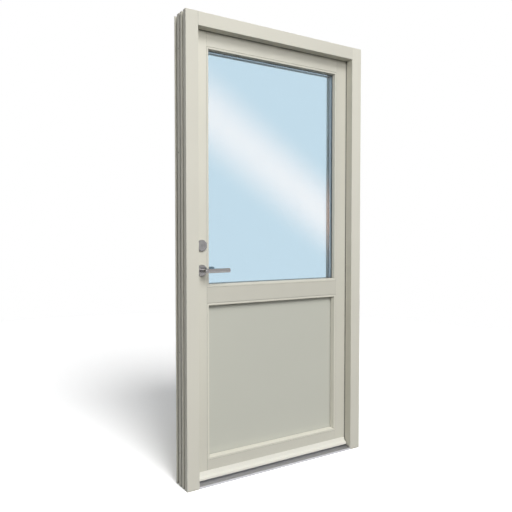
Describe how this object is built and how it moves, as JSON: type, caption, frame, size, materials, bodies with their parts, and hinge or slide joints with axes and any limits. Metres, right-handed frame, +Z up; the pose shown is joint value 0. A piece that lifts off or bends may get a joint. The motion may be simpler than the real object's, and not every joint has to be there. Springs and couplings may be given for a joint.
{
  "type": "half-glazed door",
  "caption": "Half-glazed timber entrance door in its frame, inward opening, with glass above a flat panel, mitred beads, weather bar, low threshold, lever handles and lock.",
  "frame": {"origin": "middle of the frame's footprint, on its underside", "axes": "+X across the door towards the hinge side, +Y from outside to inside, +Z up"},
  "size_m": [1, 0.185, 2.08],
  "materials": {
    "painted_timber": "opaque satin paint, cream-grey",
    "painted_panel": "smooth opaque satin paint, cream-grey",
    "painted_profile": "powder coated, cream-grey",
    "sill_aluminium": "natural anodised, satin",
    "hardwood": "oiled hardwood",
    "seal_rubber": "matt black",
    "glazing_tape": "matt dark grey",
    "clear_glass": "clear float glass with a faint blue cast",
    "spacer_metal": "mill finish",
    "foam_core": "insulating foam",
    "block_plastic": "moulded",
    "satin_hardware": "satin nickel",
    "zinc_steel": "zinc plated"
  },
  "bodies": {
    "frame": {"jamb_left": "painted_timber", "jamb_right": "painted_timber", "head": "painted_timber", "corner_screws": "zinc_steel", "threshold_sill": "sill_aluminium", "threshold_base": "hardwood", "seal_jambs": "seal_rubber", "seal_head": "seal_rubber", "seal_sill": "seal_rubber", "strike_plate": "zinc_steel", "strike_screws": "zinc_steel", "hinge_frame_plate_1": "zinc_steel", "hinge_frame_plate_2": "zinc_steel", "hinge_frame_plate_3": "zinc_steel", "hinge_pins": "zinc_steel", "hinge_washers": "block_plastic", "hinge_frame_screws": "zinc_steel"},
    "leaf": {"stile_left": "painted_timber", "stile_right": "painted_timber", "rail_top": "painted_timber", "rail_middle": "painted_timber", "rail_bottom": "painted_timber", "weather_bar": "painted_profile", "glass_outer_pane": "clear_glass", "glass_inner_pane": "clear_glass", "glass_spacer": "spacer_metal", "glass_tapes": "glazing_tape", "glass_setting_blocks": "block_plastic", "glass_bead_left": "painted_timber", "glass_bead_right": "painted_timber", "glass_bead_top": "painted_timber", "glass_bead_bottom": "painted_timber", "panel_outer_skin": "painted_panel", "panel_core": "foam_core", "panel_inner_skin": "painted_panel", "panel_tapes": "glazing_tape", "panel_bead_left": "painted_timber", "panel_bead_right": "painted_timber", "panel_bead_top": "painted_timber", "panel_bead_bottom": "painted_timber", "hinge_leaf_plate_1": "zinc_steel", "hinge_leaf_plate_2": "zinc_steel", "hinge_leaf_plate_3": "zinc_steel", "hinge_leaf_screws": "zinc_steel", "lock_case": "zinc_steel", "lock_faceplate": "zinc_steel", "lock_screws": "zinc_steel", "outside_rosette": "satin_hardware", "inside_rosette": "satin_hardware", "outside_escutcheon": "satin_hardware", "inside_escutcheon": "satin_hardware", "cylinder_housing": "satin_hardware"},
    "lever_pair": {"outside_lever": "satin_hardware", "inside_lever": "satin_hardware", "spindle": "zinc_steel", "lock_follower": "zinc_steel"},
    "latch": {"latch_bolt": "zinc_steel"},
    "bolt": {"deadbolt": "zinc_steel"},
    "key_cylinder": {"key_plug": "satin_hardware", "thumbturn": "satin_hardware"}
  },
  "joints": [
    {"name": "leaf_swing", "type": "hinge", "parent": "frame", "child": "leaf", "pos_m": [0.4515, 0.0665, 1.04], "axis": [0, 0, -1], "range_deg": [0, 100]},
    {"name": "lever_turn", "type": "hinge", "parent": "leaf", "child": "lever_pair", "pos_m": [-0.404, 0.0235, 0.962], "axis": [0, 1, 0], "range_deg": [0, 45], "stiffness_Nm_per_rad": 1, "springref_deg": -20.05},
    {"name": "latch_slide", "type": "slide", "parent": "leaf", "child": "latch", "axis": [1, 0, 0], "range_m": [0, 0.012]},
    {"name": "key_turn", "type": "hinge", "parent": "leaf", "child": "key_cylinder", "pos_m": [-0.404, 0.0235, 1.073], "axis": [0, 1, 0], "range_deg": [0, 90]},
    {"name": "deadbolt_slide", "type": "slide", "parent": "leaf", "child": "bolt", "axis": [-1, 0, 0], "range_m": [0, 0.02]}
  ],
  "couplings": [
    {"joint": "latch_slide", "follows": "lever_turn", "m_per_rad": 0.0152},
    {"joint": "key_turn", "follows": "deadbolt_slide", "rad_per_m": 77.5}
  ]
}
